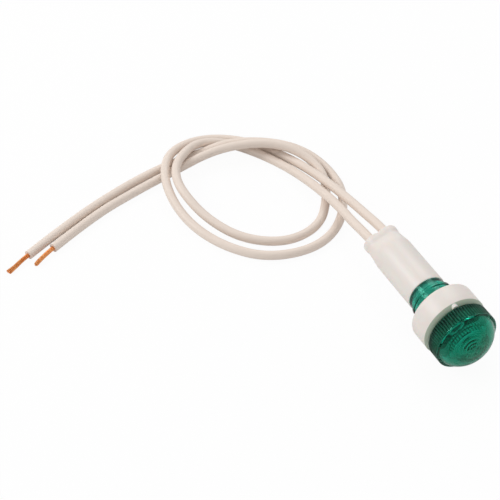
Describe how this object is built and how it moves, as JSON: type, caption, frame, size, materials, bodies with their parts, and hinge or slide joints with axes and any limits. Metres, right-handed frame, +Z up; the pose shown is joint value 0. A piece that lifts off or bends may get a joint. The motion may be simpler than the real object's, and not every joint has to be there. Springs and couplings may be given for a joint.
{
  "type": "panel pilot light",
  "caption": "Panel pilot light with a green domed lens, a white push-on retaining ring, a white rear sleeve and two insulated wire leads in a loose loop.",
  "frame": {"origin": "on the surface that the lamp lies on, under the middle of the lamp's length, leads left out", "axes": "+Y along the lamp's axis from the lens to the leads, +Z up from the surface, +X to the right seen from the lens end"},
  "size_m": [0.1064, 0.1213, 0.0189],
  "materials": {
    "green_lens": "clear green moulding, polished",
    "white_plastic": "warm white moulding, satin",
    "lamp_glass": "clear blown glass",
    "electrode_metal": "coated nickel",
    "tinned_wire": "tinned",
    "resistor_coat": "lacquered",
    "sleeving_plastic": "thin insulating tube",
    "crimp_metal": "tinned brass",
    "copper": "bare stranded copper, lightly twisted",
    "lead_insulation": "warm white flexible insulation"
  },
  "bodies": {
    "lamp": {"lens_body": "green_lens", "rear_sleeve": "white_plastic", "bulb_holder": "white_plastic", "neon_envelope": "lamp_glass", "electrode_1": "electrode_metal", "electrode_2": "electrode_metal", "bulb_lead_1": "tinned_wire", "bulb_lead_2": "tinned_wire", "ballast_resistor": "resistor_coat", "resistor_lead_front": "tinned_wire", "resistor_lead_rear": "tinned_wire", "resistor_sleeving": "sleeving_plastic", "crimp_1": "crimp_metal", "crimp_2": "crimp_metal", "conductor_1": "copper", "conductor_2": "copper", "lead_1": "lead_insulation", "lead_2": "lead_insulation", "tip_1": "copper", "tip_2": "copper"},
    "ring": {"retaining_ring": "white_plastic"}
  },
  "joints": [
    {"name": "ring_slide", "type": "slide", "parent": "lamp", "child": "ring", "axis": [0, 1, 0], "range_m": [0, 0.008]}
  ]
}
